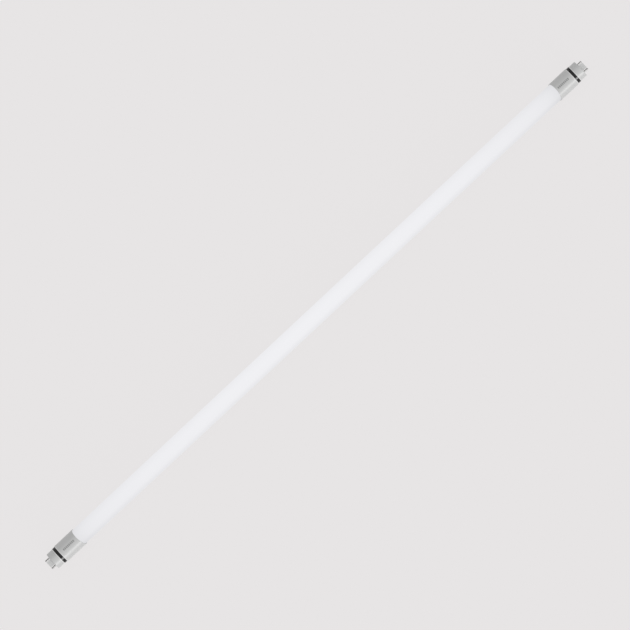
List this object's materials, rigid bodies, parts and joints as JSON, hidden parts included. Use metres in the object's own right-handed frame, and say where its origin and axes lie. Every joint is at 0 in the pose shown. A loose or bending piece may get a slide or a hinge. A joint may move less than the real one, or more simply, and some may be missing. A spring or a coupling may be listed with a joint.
{
  "type": "led tube",
  "caption": "Straight LED tube lamp with a full-round opal tube, slanted grey end caps, black rings and two contact pins at each end.",
  "frame": {"origin": "under the middle of the lamp, on the line where its two end caps rest", "axes": "+X along the tube towards the end cap with the shorter front, +Z towards the light side, +Y towards the back, across the tube"},
  "size_m": [0.984, 0.027, 0.027],
  "materials": {
    "opal_polycarbonate": "satin opal, lets light through but not a view",
    "grey_cap_plastic": "satin silver-grey moulding",
    "grey_holder_plastic": "satin silver-grey moulding",
    "black_ring_plastic": "glossy black moulding",
    "nickel_brass": "nickel-plated brass",
    "extruded_aluminium": "mill-finish extrusion",
    "white_board": "aluminium-core board with white solder mask",
    "light_package": "white package with yellow phosphor",
    "clear_film": "thin clear insulating film",
    "green_board": "green solder mask",
    "green_lacquer": "lacquered ceramic body",
    "blue_lacquer": "dipped lacquer",
    "black_resin": "moulded resin",
    "ferrite": "pressed ferrite",
    "yellow_case": "moulded case",
    "copper_winding": "enamelled copper wire",
    "capacitor_can": "aluminium can in a dark sleeve",
    "red_insulation": "soft wire insulation",
    "white_insulation": "soft wire insulation"
  },
  "bodies": {
    "root": {"black_ring_left": "black_ring_plastic", "black_ring_right": "black_ring_plastic", "bridge_rectifier": "black_resin", "chip_resistors": "black_resin", "contact_pin_left_back": "nickel_brass", "contact_pin_left_front": "nickel_brass", "contact_pin_right_back": "nickel_brass", "contact_pin_right_front": "nickel_brass", "controller_chip": "black_resin", "driver_board": "green_board", "driver_sleeve": "clear_film", "end_cap_left": "grey_cap_plastic", "end_cap_right": "grey_cap_plastic", "film_capacitors": "yellow_case", "fuse_resistor": "green_lacquer", "header_block": "black_resin", "header_pins": "nickel_brass", "inductor_coil": "copper_winding", "inductor_core": "ferrite", "input_choke": "ferrite", "led_board": "white_board", "led_carrier": "extruded_aluminium", "led_packages": "light_package", "opal_tube": "opal_polycarbonate", "output_diode": "black_resin", "pin_holder_left": "grey_holder_plastic", "pin_holder_right": "grey_holder_plastic", "pin_link": "nickel_brass", "smoothing_capacitor": "capacitor_can", "supply_lead_back": "white_insulation", "supply_lead_front": "red_insulation", "varistor": "blue_lacquer"}
  },
  "joints": []
}
